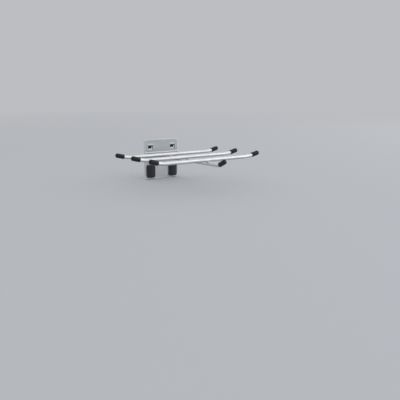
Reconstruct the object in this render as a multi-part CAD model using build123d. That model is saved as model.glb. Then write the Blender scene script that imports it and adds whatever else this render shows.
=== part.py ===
from build123d import *
from math import cos, pi, radians, sin, tan
import os

# Pegboard tool holder. A sheet steel back plate hooks into square panel holes, one
# outward arm carries three cross bars welded on its top, every wire end wears a moulded
# cap, and two push in plastic locks keep the plate from being lifted off the panel.
# The origin is the middle of the plate's rear face, which lies on the panel's face.
# X runs right along the panel, Y runs into the panel, Z runs up. Lengths are millimetres.

# Panel that the holder is made for
PANEL_PITCH = 38.0
PANEL_HOLE = 10.0
PANEL_SHEET = 1.5

# Back plate
PLATE_SIDE_MARGIN = 10.0
PLATE_HEIGHT = 60.0
PLATE_SHEET = 2.0
PLATE_TOP_CORNER = 0.8
PLATE_BOTTOM_CORNER = 5.0
PLATE_EDGE_ROUND = 0.4
HOOK_HEIGHT = 24.0

# Hook tabs, cut on three sides out of the plate and bent back through the panel
WINDOW_WIDTH = 8.0
WINDOW_HEIGHT = 8.0
TAB_SIDE_RELIEF = 0.3
TAB_BEND_INSIDE = 0.5
TAB_PANEL_GAP = 0.2

# Bead pressed outwards across the plate, which stiffens it above the arm
BEAD_HEIGHT = 9.7
BEAD_HALF_SPAN = 2.2
BEAD_PROUD = 1.8
BEAD_GROOVE_HALF_SPAN = 1.3
BEAD_GROOVE_DEPTH = 1.0

# Arm
ARM_DIAMETER = 5.0
ARM_ROOT_HEIGHT = 3.7
ARM_RISE_ANGLE = 2.04
ARM_PAST_FRONT_BAR = 23.8
ARM_BEND_RADIUS = 9.0
ARM_TIP_ANGLE = 27.0

# Cross bars
BAR_DIAMETER = 5.0
REAR_BAR_DISTANCE = 27.2
BAR_PITCH = 49.0
BAR_HALF_STRAIGHT = 63.0
BAR_BEND_RADIUS = 50.0
BAR_TIP_ANGLE = 13.6
BAR_NAMES = ("rear", "middle", "front")

# End caps
CAP_WALL = 0.8
CAP_LENGTH = 12.5
CAP_END_WALL = 1.6
CAP_END_ROUND = 2.4
CAP_MOUTH_BREAK = 0.3
WIRE_END_BREAK = 0.5

# Welds
WELD_SET_DOWN = 0.3
BAR_WELD_RADIUS = 2.8
ROOT_WELD_LEG = 1.3
ROOT_WELD_RIM = 0.2

# Push in locks
LOCK_FACE_WIDTH = 14.4
LOCK_FACE_HEIGHT = 19.8
LOCK_FACE_CORNER = 3.6
LOCK_FACE_THICKNESS = 3.6
LOCK_FACE_CROWN = 2.2
LOCK_FACE_ROUND = 0.8
LOCK_FACE_ABOVE_SHANK = 0.9
LOCK_SHANK = 9.6
LOCK_SHANK_CORNER = 1.3
LOCK_REACH = 4.6
LOCK_TIP_CHAMFER = 1.0
LOCK_SLOT = 2.6
LOCK_SLOT_FLOOR = 0.8
LOCK_RIDGE = 0.4
LOCK_RIDGE_LENGTH = 1.6
LOCK_RIDGE_WIDTH = 6.0
LOCK_RIDGE_CLEARANCE = 0.1
LOCK_GRIP_WIDTH = 9.0
LOCK_GRIP_HEIGHT = 3.2
LOCK_GRIP_DEPTH = 1.4

# One overrun for every cut that has to pass through
OVERRUN = 1.0

# Places worked out from the sizes above
COLUMN = PANEL_PITCH / 2
PLATE_WIDTH = PANEL_PITCH + 2 * PLATE_SIDE_MARGIN
HOLE_LOWER_EDGE = HOOK_HEIGHT - PANEL_HOLE / 2
WINDOW_TOP = HOLE_LOWER_EDGE + PLATE_SHEET + TAB_BEND_INSIDE
LOCK_HEIGHT = HOOK_HEIGHT - PANEL_PITCH
LOCK_HOLE = LOCK_SHANK + 2 * (LOCK_RIDGE + LOCK_RIDGE_CLEARANCE)
ARM_STRAIGHT_REACH = REAR_BAR_DISTANCE + (len(BAR_NAMES) - 1) * BAR_PITCH + ARM_PAST_FRONT_BAR
BAR_STEP_UP = (ARM_DIAMETER + BAR_DIAMETER) / 2 - WELD_SET_DOWN
CAP_GRIP = CAP_LENGTH - CAP_END_WALL


def side_point(outward, up):
    """A point in the middle plane, given outward from the panel and upward."""
    return Vector(0, -outward, up)


def arm_height(outward):
    """Height of the arm's axis at a distance outward from the panel."""
    return ARM_ROOT_HEIGHT + (outward - PLATE_SHEET) * tan(radians(ARM_RISE_ANGLE))


def bend_point(start, radius, start_angle, angle):
    """Outward and upward place on a bend that turns up from start_angle to angle."""
    outward = start[0] + radius * (sin(radians(angle)) - sin(radians(start_angle)))
    up = start[1] + radius * (cos(radians(start_angle)) - cos(radians(angle)))
    return outward, up


def break_end(wire, end):
    """The wire with the rim of its end face, at the point end, broken."""
    end_face = wire.faces().sort_by_distance(end)[0]
    return chamfer(end_face.edges(), WIRE_END_BREAK)


def bar_distance(index):
    return REAR_BAR_DISTANCE + index * BAR_PITCH


def bar_height(index):
    return arm_height(bar_distance(index)) + BAR_STEP_UP


def plate_section():
    """The plate's side profile with its bead, pulled out to the plate's width."""
    top = PLATE_HEIGHT / 2
    bead_low = BEAD_HEIGHT - BEAD_HALF_SPAN
    bead_high = BEAD_HEIGHT + BEAD_HALF_SPAN
    groove_low = BEAD_HEIGHT - BEAD_GROOVE_HALF_SPAN
    groove_high = BEAD_HEIGHT + BEAD_GROOVE_HALF_SPAN
    with BuildSketch(Plane.YZ) as profile:
        with BuildLine():
            Line((0, -top), (0, groove_low))
            ThreePointArc((0, groove_low), (-BEAD_GROOVE_DEPTH, BEAD_HEIGHT), (0, groove_high))
            Polyline((0, groove_high), (0, top), (-PLATE_SHEET, top), (-PLATE_SHEET, bead_high))
            ThreePointArc(
                (-PLATE_SHEET, bead_high),
                (-PLATE_SHEET - BEAD_PROUD, BEAD_HEIGHT),
                (-PLATE_SHEET, bead_low),
            )
            Polyline((-PLATE_SHEET, bead_low), (-PLATE_SHEET, -top), (0, -top))
        make_face()
    return extrude(profile.sketch, amount=PLATE_WIDTH / 2, both=True)


def plate_outline():
    """The plate's front outline with its rounded corners, as a trimming block."""
    depth = PLATE_SHEET + BEAD_PROUD + 2 * OVERRUN
    block = Pos(0, OVERRUN - depth / 2, 0) * Box(PLATE_WIDTH, depth, PLATE_HEIGHT)
    block = fillet(block.edges().filter_by(Axis.Y).group_by(Axis.Z)[0], PLATE_BOTTOM_CORNER)
    return fillet(block.edges().filter_by(Axis.Y).group_by(Axis.Z)[-1], PLATE_TOP_CORNER)


def hook_tab(column):
    """A tab that turns back over the hole's lower edge and down behind the panel."""
    inside = TAB_BEND_INSIDE
    outside = TAB_BEND_INSIDE + PLATE_SHEET
    over = HOLE_LOWER_EDGE + PLATE_SHEET
    level_end = PANEL_SHEET + TAB_PANEL_GAP - inside
    bend_length = pi / 2 * (inside + PLATE_SHEET / 2)
    tail = WINDOW_HEIGHT - 2 * bend_length - (level_end - inside)
    tail_end = HOLE_LOWER_EDGE - inside - tail
    first_centre = (inside, over + inside)
    second_centre = (level_end, HOLE_LOWER_EDGE - inside)
    with BuildSketch(Plane.YZ.offset(column)) as profile:
        with BuildLine():
            Line((0, WINDOW_TOP), (-PLATE_SHEET, WINDOW_TOP))
            CenterArc(first_centre, outside, 180, 90)
            Line((inside, HOLE_LOWER_EDGE), (level_end, HOLE_LOWER_EDGE))
            CenterArc(second_centre, inside, 90, -90)
            Polyline(
                (level_end + inside, HOLE_LOWER_EDGE - inside),
                (level_end + inside, tail_end),
                (level_end + outside, tail_end),
                (level_end + outside, HOLE_LOWER_EDGE - inside),
            )
            CenterArc(second_centre, outside, 0, 90)
            Line((level_end, over), (inside, over))
            CenterArc(first_centre, inside, 270, -90)
        make_face()
    return extrude(profile.sketch, amount=WINDOW_WIDTH / 2 - TAB_SIDE_RELIEF, both=True)


def front_rim(plate):
    """The edges round the plate's front face, without the two lines along the bead."""
    front = [edge for edge in plate.edges() if edge.bounding_box().max.Y < -PLATE_SHEET / 2]
    across = ShapeList(front).filter_by(Axis.X).sort_by(Axis.Z)
    return ShapeList(front) - across[1:-1]


def back_plate():
    plate = plate_section() & plate_outline()
    plate = fillet(front_rim(plate), PLATE_EDGE_ROUND)
    cut_depth = PLATE_SHEET + 2 * OVERRUN
    for column in (-COLUMN, COLUMN):
        window_place = Pos(column, -PLATE_SHEET / 2, WINDOW_TOP - WINDOW_HEIGHT / 2)
        plate -= window_place * Box(WINDOW_WIDTH, cut_depth, WINDOW_HEIGHT)
        lock_place = Pos(column, -PLATE_SHEET / 2, LOCK_HEIGHT)
        plate -= lock_place * Box(LOCK_HOLE, cut_depth, LOCK_HOLE)
        plate += hook_tab(column)
    return plate


def arm_cap_place():
    """The arm cap's mouth, with local Z along the wire towards its end."""
    start = (ARM_STRAIGHT_REACH, arm_height(ARM_STRAIGHT_REACH))
    outward, up = bend_point(start, ARM_BEND_RADIUS, ARM_RISE_ANGLE, ARM_TIP_ANGLE)
    direction = side_point(cos(radians(ARM_TIP_ANGLE)), sin(radians(ARM_TIP_ANGLE)))
    return Plane(origin=side_point(outward, up), x_dir=(1, 0, 0), z_dir=direction)


def arm_blank():
    """The arm's wire before the plate and the bars seat against it."""
    root = side_point(PLATE_SHEET - OVERRUN, arm_height(PLATE_SHEET - OVERRUN))
    start = (ARM_STRAIGHT_REACH, arm_height(ARM_STRAIGHT_REACH))
    half_way = (ARM_RISE_ANGLE + ARM_TIP_ANGLE) / 2
    crest = bend_point(start, ARM_BEND_RADIUS, ARM_RISE_ANGLE, half_way)
    mouth = arm_cap_place()
    end = mouth.origin + mouth.z_dir * CAP_GRIP
    path = Wire([
        Edge.make_line(root, side_point(*start)),
        Edge.make_three_point_arc(side_point(*start), side_point(*crest), mouth.origin),
        Edge.make_line(mouth.origin, end),
    ])
    section = Plane(origin=root, z_dir=side_point(*start) - root) * Circle(ARM_DIAMETER / 2)
    wire = sweep(section, path)
    return break_end(wire, end)


def in_front_of_plate():
    """A block that holds all of the arm in front of the plate's face."""
    reach = ARM_STRAIGHT_REACH + PLATE_HEIGHT
    return Pos(0, -PLATE_SHEET - reach / 2, 0) * Box(PLATE_HEIGHT, reach, PLATE_HEIGHT)


def bar_cap_place(index, side):
    """The mouth of a bar's cap on the side -1 or 1, with local Z along the wire."""
    outward, up = bend_point((BAR_HALF_STRAIGHT, 0), BAR_BEND_RADIUS, 0, BAR_TIP_ANGLE)
    origin = (side * outward, -bar_distance(index), bar_height(index) + up)
    direction = (side * cos(radians(BAR_TIP_ANGLE)), 0, sin(radians(BAR_TIP_ANGLE)))
    return Plane(origin=origin, x_dir=(0, 1, 0), z_dir=direction)


def crossbar(index):
    """A straight wire whose ends curve up alike, with a straight stub in each cap."""
    level = bar_height(index)
    depth = -bar_distance(index)
    crest = bend_point((BAR_HALF_STRAIGHT, 0), BAR_BEND_RADIUS, 0, BAR_TIP_ANGLE / 2)
    mouths = [bar_cap_place(index, side) for side in (-1, 1)]
    ends = [mouth.origin + mouth.z_dir * CAP_GRIP for mouth in mouths]
    bends = [Vector(side * BAR_HALF_STRAIGHT, depth, level) for side in (-1, 1)]
    crests = [Vector(side * crest[0], depth, level + crest[1]) for side in (-1, 1)]
    path = Wire([
        Edge.make_line(ends[0], mouths[0].origin),
        Edge.make_three_point_arc(mouths[0].origin, crests[0], bends[0]),
        Edge.make_line(bends[0], bends[1]),
        Edge.make_three_point_arc(bends[1], crests[1], mouths[1].origin),
        Edge.make_line(mouths[1].origin, ends[1]),
    ])
    section = Plane(origin=ends[0], z_dir=mouths[0].origin - ends[0]) * Circle(BAR_DIAMETER / 2)
    wire = sweep(section, path)
    for end in ends:
        wire = break_end(wire, end)
    return wire


def end_cap(wire_diameter):
    """A closed sleeve with a rounded end, standing on its mouth along Z."""
    bore = wire_diameter / 2
    outer = bore + CAP_WALL
    with BuildSketch(Plane.XZ) as profile:
        with BuildLine():
            Polyline(
                (0, CAP_LENGTH),
                (0, CAP_GRIP),
                (bore, CAP_GRIP),
                (bore, CAP_MOUTH_BREAK),
                (bore + CAP_MOUTH_BREAK, 0),
                (outer, 0),
                (outer, CAP_LENGTH - CAP_END_ROUND),
            )
            CenterArc((outer - CAP_END_ROUND, CAP_LENGTH - CAP_END_ROUND), CAP_END_ROUND, 0, 90)
            Line((outer - CAP_END_ROUND, CAP_LENGTH), (0, CAP_LENGTH))
        make_face()
    return revolve(profile.sketch, Axis.Z)


def bar_weld(index, arm_wire, bar_wire):
    """A ring of weld flash round the seat of a bar on the arm."""
    contact = arm_height(bar_distance(index)) + ARM_DIAMETER / 2 - WELD_SET_DOWN / 2
    flash = Pos(0, -bar_distance(index), contact) * Sphere(BAR_WELD_RADIUS)
    return flash - arm_wire - bar_wire


def root_weld(arm_wire, plate):
    """A fillet weld round the arm where it meets the plate."""
    height = ARM_ROOT_HEIGHT
    base = Plane(origin=side_point(PLATE_SHEET, height), x_dir=(1, 0, 0), z_dir=(0, -1, 0))
    foot = ARM_DIAMETER / 2 + ROOT_WELD_LEG
    rim = ARM_DIAMETER / 2 + ROOT_WELD_RIM
    bead = Cone(foot, rim, ROOT_WELD_LEG, align=(Align.CENTER, Align.CENTER, Align.MIN))
    return base * bead - arm_wire - plate


def lock_face():
    """The lock's thumb pad, crowned from side to side, with a grip under its foot."""
    shank_top = LOCK_HEIGHT + LOCK_SHANK / 2
    top = shank_top + LOCK_FACE_ABOVE_SHANK
    middle = top - LOCK_FACE_HEIGHT / 2
    half = LOCK_FACE_WIDTH / 2
    crown_radius = (half ** 2 + LOCK_FACE_CROWN ** 2) / (2 * LOCK_FACE_CROWN)
    with BuildSketch(Plane.XZ.offset(PLATE_SHEET)) as outline:
        with Locations((0, middle)):
            RectangleRounded(LOCK_FACE_WIDTH, LOCK_FACE_HEIGHT, LOCK_FACE_CORNER)
    pad = extrude(outline.sketch, amount=LOCK_FACE_THICKNESS)
    crest = PLATE_SHEET + LOCK_FACE_THICKNESS
    crown = Pos(0, crown_radius - crest, middle) * Cylinder(crown_radius, LOCK_FACE_HEIGHT + 2 * OVERRUN)
    pad = pad & crown
    rim = [edge for edge in pad.edges() if edge.bounding_box().max.Y < -PLATE_SHEET - OVERRUN]
    pad = fillet(rim, LOCK_FACE_ROUND)
    foot = top - LOCK_FACE_HEIGHT
    grip = Box(LOCK_GRIP_WIDTH, LOCK_GRIP_DEPTH + OVERRUN, LOCK_GRIP_HEIGHT + OVERRUN)
    grip_depth = -PLATE_SHEET - (LOCK_GRIP_DEPTH - OVERRUN) / 2
    grip_height = foot + (LOCK_GRIP_HEIGHT - OVERRUN) / 2
    return pad - Pos(0, grip_depth, grip_height) * grip


def lock_shank():
    """The lock's square shank, split into two legs with a snap ridge on each."""
    with BuildSketch(Plane.XZ.offset(PLATE_SHEET)) as outline:
        with Locations((0, LOCK_HEIGHT)):
            RectangleRounded(LOCK_SHANK, LOCK_SHANK, LOCK_SHANK_CORNER)
    shank = extrude(outline.sketch, amount=-(PLATE_SHEET + LOCK_REACH))
    shank = chamfer(shank.faces().sort_by(Axis.Y)[-1].edges(), LOCK_TIP_CHAMFER)
    slot_length = LOCK_REACH + PLATE_SHEET - LOCK_SLOT_FLOOR
    slot = Box(LOCK_SHANK + 2 * OVERRUN, slot_length + OVERRUN, LOCK_SLOT)
    shank -= Pos(0, LOCK_REACH - (slot_length - OVERRUN) / 2, LOCK_HEIGHT) * slot
    for side in (-1, 1):
        shank += lock_ridge(side)
    return shank


def lock_ridge(side):
    """The snap ridge on the upper or lower leg, steep towards the panel's back."""
    shoulder = PANEL_SHEET + TAB_PANEL_GAP
    root = LOCK_HEIGHT + side * LOCK_SHANK / 2
    sunk = root - side * LOCK_RIDGE
    with BuildSketch(Plane.YZ) as profile:
        with BuildLine():
            Polyline(
                (shoulder, sunk),
                (shoulder, root + side * LOCK_RIDGE),
                (shoulder + LOCK_RIDGE_LENGTH, root),
                (shoulder + LOCK_RIDGE_LENGTH, sunk),
                close=True,
            )
        make_face()
    return extrude(profile.sketch, amount=LOCK_RIDGE_WIDTH / 2, both=True)


def lock():
    return lock_face() + lock_shank()


def save(shape, name):
    shape.label = name
    export_step(shape, os.path.join("parts", name + ".step"))


os.makedirs("parts", exist_ok=True)

plate = back_plate()
save(plate, "back_plate")

arm_wire = arm_blank()
bar_wires = [crossbar(index) for index in range(len(BAR_NAMES))]
seated_arm = arm_wire & in_front_of_plate()
for bar_wire in bar_wires:
    seated_arm -= bar_wire
save(seated_arm, "arm")
save(root_weld(arm_wire, plate), "weld_root")
save(arm_cap_place() * end_cap(ARM_DIAMETER), "cap_arm")

for index, name in enumerate(BAR_NAMES):
    save(bar_wires[index], "crossbar_" + name)
    save(bar_weld(index, arm_wire, bar_wires[index]), "weld_" + name)
    for side, hand in ((-1, "left"), (1, "right")):
        save(bar_cap_place(index, side) * end_cap(BAR_DIAMETER), "cap_" + name + "_" + hand)

for side, hand in ((-1, "left"), (1, "right")):
    save(Pos(side * COLUMN, 0, 0) * lock(), "lock_" + hand)
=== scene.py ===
"""Dresses the frame of a wire tool holder and sets it in a plain studio.

The back plate, arm, bars and locks are the frame's own solids with new materials. The
seven end caps and the four welds are finer meshes, each in the place of the solid that
it stands for and of its size.
"""

from math import cos, pi, radians, sin, tan

import bmesh
import bpy
from mathutils import Matrix, Vector, noise


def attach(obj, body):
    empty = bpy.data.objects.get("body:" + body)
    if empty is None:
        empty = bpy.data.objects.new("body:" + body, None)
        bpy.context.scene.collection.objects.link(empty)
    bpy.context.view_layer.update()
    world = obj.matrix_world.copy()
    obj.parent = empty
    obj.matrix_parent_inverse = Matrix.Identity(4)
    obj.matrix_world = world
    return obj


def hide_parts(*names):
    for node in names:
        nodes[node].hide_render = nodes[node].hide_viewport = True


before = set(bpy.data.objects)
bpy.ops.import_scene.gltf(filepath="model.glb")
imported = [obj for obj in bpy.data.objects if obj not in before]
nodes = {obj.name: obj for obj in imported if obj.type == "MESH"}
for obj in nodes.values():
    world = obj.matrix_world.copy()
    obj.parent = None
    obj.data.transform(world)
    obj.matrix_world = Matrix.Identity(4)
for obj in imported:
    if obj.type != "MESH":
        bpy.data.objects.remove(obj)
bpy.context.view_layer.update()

MM = 0.001
X_AXIS, Y_AXIS = 0, 1

# Sizes of the part that its dressed pieces and their materials follow, in metres
PLATE_SHEET = 2.0 * MM
PLATE_HALF_WIDTH = 29.0 * MM
PLATE_HALF_HEIGHT = 30.0 * MM
PLATE_CORNER = 5.0 * MM
BEAD_HEIGHT = 9.7 * MM
COLUMN = 19.0 * MM
WINDOW_HALF_WIDTH = 4.0 * MM
WINDOW_MIDDLE = 17.5 * MM
WINDOW_TOP = 21.5 * MM
WIRE_RADIUS = 2.5 * MM
ARM_ROOT_HEIGHT = 3.7 * MM
ARM_RISE = radians(2.04)
ARM_STRAIGHT_REACH = 149.0 * MM
ARM_BEND_RADIUS = 9.0 * MM
ARM_TIP = radians(27.0)
BAR_DISTANCES = {"rear": 27.2 * MM, "middle": 76.2 * MM, "front": 125.2 * MM}
BAR_STEP_UP = 4.7 * MM
BAR_HALF_STRAIGHT = 63.0 * MM
BAR_BEND_RADIUS = 50.0 * MM
BAR_TIP = radians(13.6)
CAP_LENGTH = 12.5 * MM
CAP_RADIUS = 3.3 * MM
CAP_GRIP = 10.9 * MM

# The caps' moulding: a rolled lip, a waist with faint draft and a sunk gate mark
CAP_TURNS = 56
CAP_SMOOTH_ANGLE = radians(40.0)
CAP_LIP = 0.45 * MM
CAP_LIP_STEP = 0.12 * MM
CAP_DRAFT = 0.04 * MM
CAP_ROUND = 2.4 * MM
CAP_CHAMFER = 0.25 * MM
CAP_CLEARANCE = 0.02 * MM
GATE_RADIUS = 0.7 * MM
GATE_SINK = 0.12 * MM
GATE_RIM_SINK = 0.02 * MM
FLASH_HEIGHT = 0.05 * MM
FLASH_HALF_WIDTH = 0.06 * MM

# The fillet weld at the arm's root, from its foot on the plate to its rim on the wire
ROOT_WELD_TURNS = 96
ROOT_WELD_STEPS = 9
ROOT_WELD_RIPPLES = 17
ROOT_WELD_FOOT = 3.75 * MM
ROOT_WELD_RIM = 2.72 * MM
ROOT_WELD_LEG = 1.25 * MM
ROOT_WELD_INSIDE = WIRE_RADIUS - 0.1 * MM

# The welds between the arm and the bars
BAR_WELD_REACH = 2.75 * MM
BAR_WELD_SINK = 0.15 * MM
WELD_SMOOTH_ANGLE = radians(60.0)

# The studio, in metres and watts. The dome that shows has a strength of 1 below its
# fade and DOME_TOP above it. SKY_LIGHT is the even strength that lights all that isn't
# glossy
MIDDLE = (0.0, -0.07, 0.0)
BACKGROUND = (0.50, 0.51, 0.53, 1.0)
DOME_FADE = (0.12, 0.85)
DOME_TOP = 1.42
SKY_LIGHT = 2.05
FLOOR_PLACE = (0, -0.08, -0.0302)
FLOOR_RADIUS = 6.0
FLOOR_FADE = (0.6, 2.4)
FLOOR_COLOR = (0.41, 0.415, 0.425, 1.0)
SOFTBOXES = {
    "key": {"place": (1.60, -2.30, 1.04), "size": 2.4, "power": 12.5},
    "side": {"place": (2.30, -0.50, 0.80), "size": 1.6, "power": 17.5},
}

# The photograph's viewpoint, in metres, with its lens and sensor in millimetres
CAMERA_PLACE = (-0.35827, -0.63936, 0.10337)
CAMERA_YAW = radians(33.974)
CAMERA_PITCH = radians(-13.019)
CAMERA_ROLL = radians(0.350)
CAMERA_LENS = 43.10
CAMERA_SENSOR = 36.0
CAMERA_NEAR = 0.01
CAMERA_FAR = 50.0


# ---------------------------------------------------------------- places


def axis_frame(origin, direction, across):
    """A matrix whose local Z runs along direction and whose X runs along across."""
    z = Vector(direction).normalized()
    x = (Vector(across) - z * z.dot(Vector(across))).normalized()
    y = z.cross(x)
    return Matrix.Translation(origin) @ Matrix((x, y, z)).transposed().to_4x4()


def arm_height(outward):
    """Height of the arm's straight axis at a distance in front of the plate's back."""
    return ARM_ROOT_HEIGHT + (outward - PLATE_SHEET) * tan(ARM_RISE)


def bar_cap_frame(distance, side):
    """Where a bar's cap sits, its mouth at local Z 0. Side is -1 or 1."""
    outward = BAR_HALF_STRAIGHT + BAR_BEND_RADIUS * sin(BAR_TIP)
    up = arm_height(distance) + BAR_STEP_UP + BAR_BEND_RADIUS * (1 - cos(BAR_TIP))
    direction = (side * cos(BAR_TIP), 0, sin(BAR_TIP))
    return axis_frame((side * outward, -distance, up), direction, (0, 1, 0))


def arm_cap_frame():
    """Where the arm's cap sits, its mouth at local Z 0."""
    outward = ARM_STRAIGHT_REACH + ARM_BEND_RADIUS * (sin(ARM_TIP) - sin(ARM_RISE))
    bend_rise = ARM_BEND_RADIUS * (cos(ARM_RISE) - cos(ARM_TIP))
    up = arm_height(ARM_STRAIGHT_REACH) + bend_rise
    return axis_frame((0, -outward, up), (0, -cos(ARM_TIP), sin(ARM_TIP)), (1, 0, 0))


# ---------------------------------------------------------------- meshes


def new_object(name, data):
    """An object with that data, linked into the scene."""
    item = bpy.data.objects.new(name, data)
    bpy.context.scene.collection.objects.link(item)
    return item


def finish_piece(name, bm, node, material, smooth_angle):
    """Makes a piece of a bmesh, to ride on the holder and stand for a node."""
    bmesh.ops.recalc_face_normals(bm, faces=bm.faces)
    mesh = bpy.data.meshes.new(name)
    bm.to_mesh(mesh)
    bm.free()
    mesh.shade_smooth()
    mesh.set_sharp_from_angle(angle=smooth_angle)
    mesh.materials.append(material)
    piece = new_object(name, mesh)
    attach(piece, "holder")
    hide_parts(node)


def circle(bm, radius, height, turns):
    """Adds a ring of points round local Z."""
    angles = [2 * pi * k / turns for k in range(turns)]
    return [bm.verts.new((radius * cos(a), radius * sin(a), height)) for a in angles]


def join_rings(bm, rings):
    """Adds the faces between each ring of points and the next."""
    for low, high in zip(rings, rings[1:]):
        for k in range(len(low)):
            following = (k + 1) % len(low)
            bm.faces.new((low[k], low[following], high[following], high[k]))


def revolved(profile, turns):
    """A closed skin turned round local Z. Its first and last points lie on the axis."""
    bm = bmesh.new()
    rings = [circle(bm, radius, height, turns) for radius, height in profile[1:-1]]
    join_rings(bm, rings)
    for ring, point in ((rings[0], profile[0]), (rings[-1], profile[-1])):
        pole = bm.verts.new((0, 0, point[1]))
        for k in range(turns):
            bm.faces.new((ring[k], ring[(k + 1) % turns], pole))
    return bm


def arc_points(centre, radius, start, end, count):
    """Points of an arc in the profile's plane, from one angle in degrees to another."""
    angles = [radians(start + (end - start) * k / count) for k in range(count + 1)]
    return [(centre[0] + radius * cos(a), centre[1] + radius * sin(a)) for a in angles]


def cap_profile():
    """A cap's radii and heights, from the middle of its end round into its bore."""
    waist = CAP_RADIUS - CAP_LIP_STEP
    bore = WIRE_RADIUS + CAP_CLEARANCE
    gate_floor = CAP_LENGTH - GATE_SINK
    gate_rim = CAP_LENGTH - GATE_RIM_SINK
    round_centre = (waist - CAP_ROUND, CAP_LENGTH - CAP_ROUND)
    lip_centre = (CAP_RADIUS - CAP_LIP, CAP_LIP)
    points = [(0, gate_floor), (0.8 * GATE_RADIUS, gate_floor)]
    points += [(GATE_RADIUS, gate_rim), (1.3 * GATE_RADIUS, gate_rim)]
    points += arc_points(round_centre, CAP_ROUND, start=90, end=0, count=10)[1:]
    for share in (0.75, 0.5, 0.3):
        points.append((waist + CAP_DRAFT * (1 - share), share * CAP_LENGTH))
    points.append((waist + CAP_DRAFT, 2.4 * CAP_LIP))
    points += arc_points(lip_centre, CAP_LIP, start=50, end=-90, count=7)
    points += [(WIRE_RADIUS + CAP_CHAMFER, 0), (bore, CAP_CHAMFER)]
    points += [(bore, CAP_GRIP), (0, CAP_GRIP)]
    return points


def raise_parting_line(bm):
    """Raises a hair of flash along the two sides where the mould's halves met."""
    outside = WIRE_RADIUS + 0.5 * MM
    for vert in bm.verts:
        radius = vert.co.xy.length
        if radius > outside and abs(vert.co.y) < FLASH_HALF_WIDTH:
            vert.co.x *= (radius + FLASH_HEIGHT) / radius


def end_cap(node, place, material):
    """A moulded cap pushed on a wire's end."""
    bm = revolved(cap_profile(), CAP_TURNS)
    raise_parting_line(bm)
    bmesh.ops.transform(bm, matrix=place, verts=bm.verts)
    name = node + "_moulded"
    finish_piece(name, bm, node, material, CAP_SMOOTH_ANGLE)


def bar_weld(node, distance, material):
    """The metal squeezed out where a bar meets the arm, thickest at its corners."""
    plain_share, corner_share, grain_share = 0.86, 0.1, 0.06
    flattening = 0.34
    grain_scale = 2.6
    grain_seed = Vector((distance * 900, 0, 0))
    fall_off, lacunarity, octaves = 1.0, 2.0, 3
    bm = bmesh.new()
    bmesh.ops.create_icosphere(bm, subdivisions=5, radius=1.0)
    for vert in bm.verts:
        direction = vert.co.normalized()
        corner = abs(direction.x * direction.y) * 2
        spot = direction * grain_scale + grain_seed
        grain = noise.fractal(spot, fall_off, lacunarity, octaves)
        share = plain_share + corner_share * corner + grain_share * grain
        flat = 1.0 - flattening * abs(direction.z)
        vert.co = direction * min(BAR_WELD_REACH * share, BAR_WELD_REACH) * flat
    height = arm_height(distance) + WIRE_RADIUS - BAR_WELD_SINK
    bmesh.ops.translate(bm, vec=(0, -distance, height), verts=bm.verts)
    name = node + "_flash"
    finish_piece(name, bm, node, material, WELD_SMOOTH_ANGLE)


def root_weld(node, material):
    """The fillet weld at the arm's root, laid in overlapping ripples round the wire."""
    hollow = 0.12
    ripple_depth, ripple_lean = 0.16, 1.8
    lump_depth, lump_scale, lump_seed = 0.1, 1.4, 3.1
    rim_waver = 0.05
    slope = ROOT_WELD_RIM - ROOT_WELD_FOOT
    bm = bmesh.new()
    rings = []
    for step in range(ROOT_WELD_STEPS + 1):
        share = step / ROOT_WELD_STEPS
        belly = sin(pi * share)
        ring = []
        for k in range(ROOT_WELD_TURNS):
            turn = 2 * pi * k / ROOT_WELD_TURNS
            x, y = cos(turn), sin(turn)
            wave = 0.5 - 0.5 * cos(turn * ROOT_WELD_RIPPLES + ripple_lean * share)
            lump = noise.noise(Vector((x * lump_scale, y * lump_scale, lump_seed)))
            relief = ripple_depth * wave + lump_depth * lump
            radius = ROOT_WELD_FOOT + slope * share - belly * ROOT_WELD_LEG * hollow
            radius -= ROOT_WELD_LEG * relief * belly**0.5
            height = ROOT_WELD_LEG * share * (1 - rim_waver * lump)
            ring.append(bm.verts.new((radius * x, radius * y, height)))
        rings.append(ring)
    for height in (rings[-1][0].co.z, 0.0):
        rings.append(circle(bm, ROOT_WELD_INSIDE, height, ROOT_WELD_TURNS))
    join_rings(bm, rings + rings[:1])
    place = axis_frame((0, -PLATE_SHEET, ARM_ROOT_HEIGHT), (0, -1, 0), (1, 0, 0))
    bmesh.ops.transform(bm, matrix=place, verts=bm.verts)
    name = node + "_bead"
    finish_piece(name, bm, node, material, WELD_SMOOTH_ANGLE)


# ---------------------------------------------------------------- shader nodes


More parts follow.
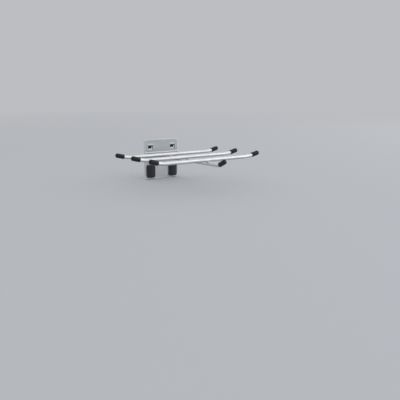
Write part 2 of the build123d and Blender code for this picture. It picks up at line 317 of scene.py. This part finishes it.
class Graph:
    """The nodes of a material or world, with short calls to add, set and join them.

    What a call takes may be a plain value or another node's output.
    """

    def __init__(self, owner):
        owner.use_nodes = True
        self.owner = owner
        self.tree = owner.node_tree
        self.tree.nodes.clear()
        self.places = self.add("ShaderNodeTexCoord").outputs

    def feed(self, socket, value):
        """Joins an output to a socket, or sets the socket to a plain value."""
        if isinstance(value, bpy.types.NodeSocket):
            self.tree.links.new(value, socket)
        else:
            socket.default_value = value

    def add(self, kind, settings=None, **inputs):
        """A node of that kind. An input's name has _ where its label has a space."""
        node = self.tree.nodes.new(kind)
        for key, value in (settings or {}).items():
            setattr(node, key, value)
        for key, value in inputs.items():
            self.feed(node.inputs[key.replace("_", " ")], value)
        return node

    def axes(self, kind):
        """X, Y and Z of a place of that kind, such as Object or Normal."""
        node = self.add("ShaderNodeSeparateXYZ", Vector=self.places[kind])
        return [node.outputs[axis] for axis in "XYZ"]

    def math(self, operation, first, second=0.0, clamp=False):
        """The result of one operation on one or two numbers."""
        node = self.add("ShaderNodeMath", {"operation": operation, "use_clamp": clamp})
        for socket, value in zip(node.inputs, (first, second)):
            self.feed(socket, value)
        return node.outputs[0]

    def ramp(self, value, low, high, start=0.0, end=1.0, interpolation="LINEAR"):
        """Value taken from low..high to start..end, and held at the ends."""
        settings = {"interpolation_type": interpolation}
        node = self.add("ShaderNodeMapRange", settings, Value=value)
        names = ("From Min", "From Max", "To Min", "To Max")
        for name, number in zip(names, (low, high, start, end)):
            node.inputs[name].default_value = number
        return node.outputs[0]

    def near(self, value, centre, half_span, soft):
        """One within half_span of centre, falling to zero over soft."""
        away = self.math("ABSOLUTE", self.math("SUBTRACT", value, centre))
        return self.ramp(away, half_span, half_span + soft, 1.0, 0.0)

    def blend(self, kind, factor, first, second):
        """From first to second as factor goes from 0 to 1. Kind is FLOAT or RGBA."""
        node = self.add("ShaderNodeMix", {"data_type": kind})
        first_at, second_at, result_at = {"FLOAT": (2, 3, 0), "RGBA": (6, 7, 2)}[kind]
        self.feed(node.inputs[0], factor)
        self.feed(node.inputs[first_at], first)
        self.feed(node.inputs[second_at], second)
        return node.outputs[result_at]

    def layered(self, base, *layers):
        """A base colour with layers over it, each given as its mask and its colour."""
        for mask, color in layers:
            base = self.blend("RGBA", mask, base, color)
        return base

    def noise(self, scale, detail, roughness=0.55):
        """Clouds from 0 to 1, as many to the metre as scale says.

        Three scales, one for each axis, draw them out.
        """
        place = self.places["Object"]
        if isinstance(scale, tuple):
            place = self.add("ShaderNodeMapping", Vector=place, Scale=scale).outputs[0]
            scale = 1.0
        node = self.add("ShaderNodeTexNoise", Vector=place, Scale=scale)
        self.feed(node.inputs["Detail"], detail)
        self.feed(node.inputs["Roughness"], roughness)
        return node.outputs[0]

    def bumped(self, *bumps):
        """The surface's direction with bumps, each a height, strength and distance."""
        normal = None
        for height, strength, distance in bumps:
            node = self.add("ShaderNodeBump", Height=height, Strength=strength)
            node.inputs["Distance"].default_value = distance
            if normal is not None:
                self.feed(node.inputs["Normal"], normal)
            normal = node.outputs[0]
        return normal

    def show(self, shader, output="ShaderNodeOutputMaterial"):
        """Makes that shader the surface, and returns the material or world."""
        self.feed(self.add(output).inputs["Surface"], shader.outputs[0])
        return self.owner


# ---------------------------------------------------------------- materials


def grey(level, tint=(1.0, 1.0, 1.0)):
    """A colour of one level, leaning towards a tint."""
    return (level * tint[0], level * tint[1], level * tint[2], 1.0)


def metal(g, color, roughness, normal):
    """A plated metal surface."""
    return g.show(
        g.add(
            "ShaderNodeBsdfPrincipled",
            Base_Color=color,
            Roughness=roughness,
            Normal=normal,
            Metallic=1.0,
        )
    )


def outline_band(g, across, height):
    """How far out towards the plate's rounded outline a point lies, in metres."""
    squares = []
    for value, half_size in ((across, PLATE_HALF_WIDTH), (height, PLATE_HALF_HEIGHT)):
        away = g.math("SUBTRACT", g.math("ABSOLUTE", value), half_size - PLATE_CORNER)
        squares.append(g.math("POWER", g.math("MAXIMUM", away, 0.0), 2.0))
    return g.math("SQRT", g.math("ADD", *squares))


def window_column(g, across):
    """A mask of the two columns that the plate's windows lie in."""
    distance = g.math("ABSOLUTE", across)
    return g.near(distance, COLUMN, half_span=WINDOW_HALF_WIDTH, soft=0.6 * MM)


def painted_edge_highlights(g, across, depth, height):
    """Masks of highlights painted on the plate's rim, bead and front bends over
    windows.
    """
    band = outline_band(g, across, height)
    # Painted highlight along the rim, strongest at the foot and faint up the sides
    rim = g.ramp(band, PLATE_CORNER - 1.8 * MM, PLATE_CORNER - 0.7 * MM)
    foot_share = g.ramp(height, -27.0 * MM, -22.0 * MM, 1.0, 0.2)
    top_share = g.ramp(height, 0.0, 12.0 * MM, 0.0, 0.25)
    rim_share = g.math("ADD", foot_share, top_share, clamp=True)
    # Painted highlight on the bead
    bead = g.near(height, BEAD_HEIGHT, half_span=1.2 * MM, soft=0.8 * MM)
    # Painted highlight on the front bends just above the windows, broken up by noise
    bend_height = WINDOW_TOP + 0.9 * MM
    bend = g.near(height, bend_height, half_span=0.5 * MM, soft=0.9 * MM)
    bend = g.math("MULTIPLY", bend, window_column(g, across))
    bend = g.math("MULTIPLY", bend, g.ramp(depth, -0.2 * MM, -1.0 * MM))
    highlight_breakup = g.ramp(g.noise(420.0, detail=3.0), 0.34, 0.56, 0.45, 0.95)
    return (
        g.math("MULTIPLY", rim, rim_share),
        g.math("MULTIPLY", bead, 0.6),
        g.math("MULTIPLY", bend, highlight_breakup),
    )


def painted_window_shade(g, across, depth, height):
    """Masks of the shade painted on the windows' cut faces and on the tabs' faces in
    shelter.
    """
    opening = g.near(height, WINDOW_MIDDLE, half_span=3.9 * MM, soft=0.5 * MM)
    within_sheet = g.near(depth, 0.6 * MM, half_span=2.2 * MM, soft=0.3 * MM)
    inside = g.math("MULTIPLY", window_column(g, across), opening)
    inside = g.math("MULTIPLY", inside, within_sheet)
    behind_front = g.ramp(depth, -0.05 * MM, -0.25 * MM)
    _, facing_back, facing_up = g.axes("Normal")
    # Painted shade goes on the tab faces that face forward or down
    forward_or_down = g.ramp(g.math("MINIMUM", facing_back, facing_up), -0.3, -0.6)
    return (
        g.math("MULTIPLY", inside, behind_front),
        g.math("MULTIPLY", inside, forward_or_down),
    )


def zinc_sheet():
    """Plated sheet: cloudy, with a rolling grain; painted light and shade on its face,
    edges and windows.
    """
    g = Graph(bpy.data.materials.new("zinc_sheet_plated"))
    across, depth, height = g.axes("Object")
    cloud = g.noise(70.0, detail=4.0)
    streaks = g.noise((45.0, 45.0, 1500.0), detail=4.0)
    grain = g.noise((60.0, 60.0, 2600.0), detail=3.0)
    speckle = g.noise(1900.0, detail=2.0)
    crystals = g.add("ShaderNodeTexVoronoi", Vector=g.places["Object"], Scale=420.0)
    tone = g.add("ShaderNodeSeparateColor", Color=crystals.outputs["Color"]).outputs[0]
    # Painted light: the sheet is written darker above the bars than below them, to
    # offset the shade the bars cast on its lower part
    painted_tone_above_bars = g.ramp(height, -4.0 * MM, 12.0 * MM)
    clouded = g.ramp(cloud, 0.3, 0.7, 0.0, 0.30)
    spangled = g.math("MULTIPLY", tone, 0.10)
    dark_streak = g.ramp(streaks, 0.42, 0.72, 0.0, 0.18)
    pale_streak = g.ramp(streaks, 0.36, 0.22, 0.0, 0.18)
    rim, bead, bend = painted_edge_highlights(g, across, depth, height)
    cut_face_painted_shade, tab_painted_shade = painted_window_shade(g, across, depth, height)
    color = g.layered(
        grey(0.64, (0.98, 0.99, 1.03)),
        # Painted light: darker above the bars, lighter below them
        (painted_tone_above_bars, grey(0.53, (0.94, 1.01, 1.035))),
        (clouded, grey(0.62, (0.97, 1.0, 1.02))),
        (spangled, grey(0.78)),
        (dark_streak, grey(0.30, (0.95, 1.0, 1.04))),
        (pale_streak, grey(0.66)),
        # Painted highlights: the rim, the bead and the bends above the windows
        (rim, grey(0.97)),
        (bead, grey(0.66, (0.97, 1.0, 1.02))),
        (bend, grey(0.88)),
        # Painted shade: the windows' cut faces and the tabs' faces within them
        (cut_face_painted_shade, grey(0.20, (0.97, 1.0, 1.04))),
        (tab_painted_shade, grey(0.07, (0.9, 1.0, 1.12))),
    )
    cloud_rough = g.ramp(cloud, 0.3, 0.7, 0.36, 0.48)
    grain_rough = g.ramp(grain, 0.3, 0.7, -0.04, 0.05)
    rough = g.math("ADD", cloud_rough, grain_rough)
    rough = g.math("ADD", rough, g.math("MULTIPLY", tab_painted_shade, 0.25), clamp=True)
    normal = g.bumped((grain, 0.25, 0.04 * MM), (speckle, 0.2, 0.05 * MM))
    return metal(g, color, rough, normal)


def drawn_out(axis, scale, scale_along):
    """Three scales for a noise that is drawn out along an axis."""
    scales = [scale, scale, scale]
    scales[axis] = scale_along
    return tuple(scales)


def zinc_wire(name, axis):
    """Plated wire: drawn lines along it, scuffs, and painted shade on its underside."""
    g = Graph(bpy.data.materials.new(name))
    lines = g.noise(drawn_out(axis, 1500.0, 30.0), detail=3.0)
    cloud = g.noise(110.0, detail=4.0)
    dents = g.noise(520.0, detail=2.0)
    scuff = g.noise(drawn_out(axis, 900.0, 260.0), detail=5.0, roughness=0.7)
    scuff = g.ramp(scuff, 0.62, 0.72)
    clouded = g.ramp(cloud, 0.35, 0.68)
    scuffed = g.math("MULTIPLY", scuff, 0.45)
    _, _, facing_up = g.axes("Normal")
    # Painted shade: the wire's downward faces are written darker
    below = g.math("MULTIPLY", g.ramp(facing_up, -0.28, -0.78), 0.9)
    color = g.layered(
        grey(0.80, (0.99, 1.0, 1.01)),
        (clouded, grey(0.90)),
        (scuffed, grey(0.55)),
        (below, grey(0.30, (0.96, 1.0, 1.04))),
    )
    line_rough = g.ramp(lines, 0.3, 0.7, 0.34, 0.44)
    rough = g.math("ADD", line_rough, g.math("MULTIPLY", scuff, 0.18))
    normal = g.bumped((lines, 0.3, 0.03 * MM), (dents, 0.12, 0.06 * MM))
    return metal(g, color, rough, normal)


def weld_metal():
    """Plated weld: duller and lumpier than the wire, darker in its hollows."""
    g = Graph(bpy.data.materials.new("weld_plated"))
    lump = g.noise(900.0, detail=4.0)
    crest = g.ramp(lump, 0.35, 0.7)
    color = g.layered(grey(0.42, (1.02, 1.0, 0.97)), (crest, grey(0.74)))
    rough = g.ramp(lump, 0.3, 0.7, 0.34, 0.55)
    return metal(g, color, rough, g.bumped((lump, 0.5, 0.12 * MM)))


def black_plastic(name, level, roughness, specular, grain_scale, grain_depth):
    """Moulded black plastic: even grain, a breath of dust and faint flow marks."""
    g = Graph(bpy.data.materials.new(name))
    cool = (0.85, 1.0, 1.25)
    dust = g.ramp(g.noise(240.0, detail=6.0, roughness=0.68), 0.5, 0.78)
    flow = g.noise(130.0, detail=2.0)
    grain = g.noise(grain_scale, detail=2.0)
    flow_mark = g.ramp(flow, 0.3, 0.7)
    dusted = g.math("MULTIPLY", dust, 0.5)
    color = g.layered(
        grey(level * 0.85, cool),
        (flow_mark, grey(level * 1.15, cool)),
        (dusted, grey(level * 2.4)),
    )
    flow_rough = g.ramp(flow, 0.3, 0.7, roughness - 0.04, roughness + 0.05)
    rough = g.math("ADD", flow_rough, g.math("MULTIPLY", dust, 0.12))
    shader = g.add(
        "ShaderNodeBsdfPrincipled",
        Base_Color=color,
        Roughness=rough,
        Normal=g.bumped((grain, 0.5, grain_depth)),
        Specular_IOR_Level=specular,
    )
    return g.show(shader)


def assign(node, material):
    """Gives a node's own solid a new material."""
    mesh = nodes[node].data
    mesh.materials.clear()
    mesh.materials.append(material)


# ---------------------------------------------------------------- the object

bar_metal = zinc_wire("zinc_wire_bars", X_AXIS)
weld = weld_metal()
cap_black = black_plastic(
    "cap_black",
    level=0.009,
    roughness=0.30,
    specular=0.28,
    grain_scale=2200.0,
    grain_depth=0.03 * MM,
)
lock_black = black_plastic(
    "lock_black",
    level=0.018,
    roughness=0.35,
    specular=0.38,
    grain_scale=1700.0,
    grain_depth=0.06 * MM,
)

assign("back_plate", zinc_sheet())
assign("arm", zinc_wire("zinc_wire_arm", Y_AXIS))
assign("lock_left", lock_black)
assign("lock_right", lock_black)
for which, distance in BAR_DISTANCES.items():
    assign("crossbar_" + which, bar_metal)
    end_cap("cap_" + which + "_left", bar_cap_frame(distance, -1), cap_black)
    end_cap("cap_" + which + "_right", bar_cap_frame(distance, 1), cap_black)
    bar_weld("weld_" + which, distance, weld)
end_cap("cap_arm", arm_cap_frame(), cap_black)
root_weld("weld_root", weld)


# ---------------------------------------------------------------- the studio


def floor():
    """A wide pale floor whose far part fades into the background."""
    bm = bmesh.new()
    bmesh.ops.create_circle(bm, cap_ends=True, segments=96, radius=FLOOR_RADIUS)
    mesh = bpy.data.meshes.new("floor")
    bm.to_mesh(mesh)
    bm.free()
    piece = new_object("floor", mesh)
    piece.location = FLOOR_PLACE
    g = Graph(bpy.data.materials.new("floor_pale"))
    reach = g.add("ShaderNodeVectorMath", {"operation": "LENGTH"})
    g.feed(reach.inputs[0], g.places["Object"])
    far = g.ramp(reach.outputs["Value"], *FLOOR_FADE)
    lit = g.add("ShaderNodeBsdfDiffuse", Color=FLOOR_COLOR)
    faded = g.add("ShaderNodeEmission", Color=BACKGROUND, Strength=1.0)
    mixed = g.add("ShaderNodeMixShader", Fac=far)
    g.feed(mixed.inputs[1], lit.outputs[0])
    g.feed(mixed.inputs[2], faded.outputs[0])
    mesh.materials.append(g.show(mixed))


def softbox(name, place, size, power):
    """A square area lamp that faces the object's middle."""
    light = bpy.data.lights.new(name, "AREA")
    light.size = size
    light.energy = power
    lamp = new_object(name, light)
    lamp.location = place
    aim = Vector(MIDDLE) - Vector(place)
    lamp.rotation_mode = "QUATERNION"
    lamp.rotation_quaternion = aim.to_track_quat("-Z", "Y")
    lamp.visible_camera = False


def background():
    """A pale dome, brighter overhead, that camera and gloss see, and its even light."""
    g = Graph(bpy.data.worlds.new("studio"))
    rise = g.axes("Generated")[2]
    dome = g.ramp(rise, *DOME_FADE, 1.0, DOME_TOP, interpolation="SMOOTHSTEP")
    rays = g.add("ShaderNodeLightPath").outputs
    seen = g.math("MAXIMUM", rays["Is Camera Ray"], rays["Is Glossy Ray"])
    seen = g.math("MAXIMUM", seen, rays["Is Transmission Ray"])
    level = g.blend("FLOAT", seen, SKY_LIGHT, dome)
    shade = g.add("ShaderNodeBackground", Color=BACKGROUND, Strength=level)
    bpy.context.scene.world = g.show(shade, "ShaderNodeOutputWorld")


def camera():
    """The photograph's viewpoint: from the left front, a little above, looking down."""
    yaw, pitch, roll = CAMERA_YAW, CAMERA_PITCH, CAMERA_ROLL
    ahead = Vector((sin(yaw) * cos(pitch), cos(yaw) * cos(pitch), sin(pitch)))
    level = Vector((cos(yaw), -sin(yaw), 0))
    upright = level.cross(ahead)
    right = level * cos(roll) + upright * sin(roll)
    up = upright * cos(roll) - level * sin(roll)
    turn = Matrix((right, up, -ahead)).transposed().to_4x4()
    lens = bpy.data.cameras.new("camera")
    lens.sensor_width = CAMERA_SENSOR
    lens.lens = CAMERA_LENS
    lens.clip_start = CAMERA_NEAR
    lens.clip_end = CAMERA_FAR
    viewpoint = new_object("camera", lens)
    viewpoint.matrix_world = Matrix.Translation(CAMERA_PLACE) @ turn
    bpy.context.scene.camera = viewpoint


floor()
background()
for name, values in SOFTBOXES.items():
    softbox(name, **values)
camera()
bpy.context.scene.view_settings.view_transform = "Standard"
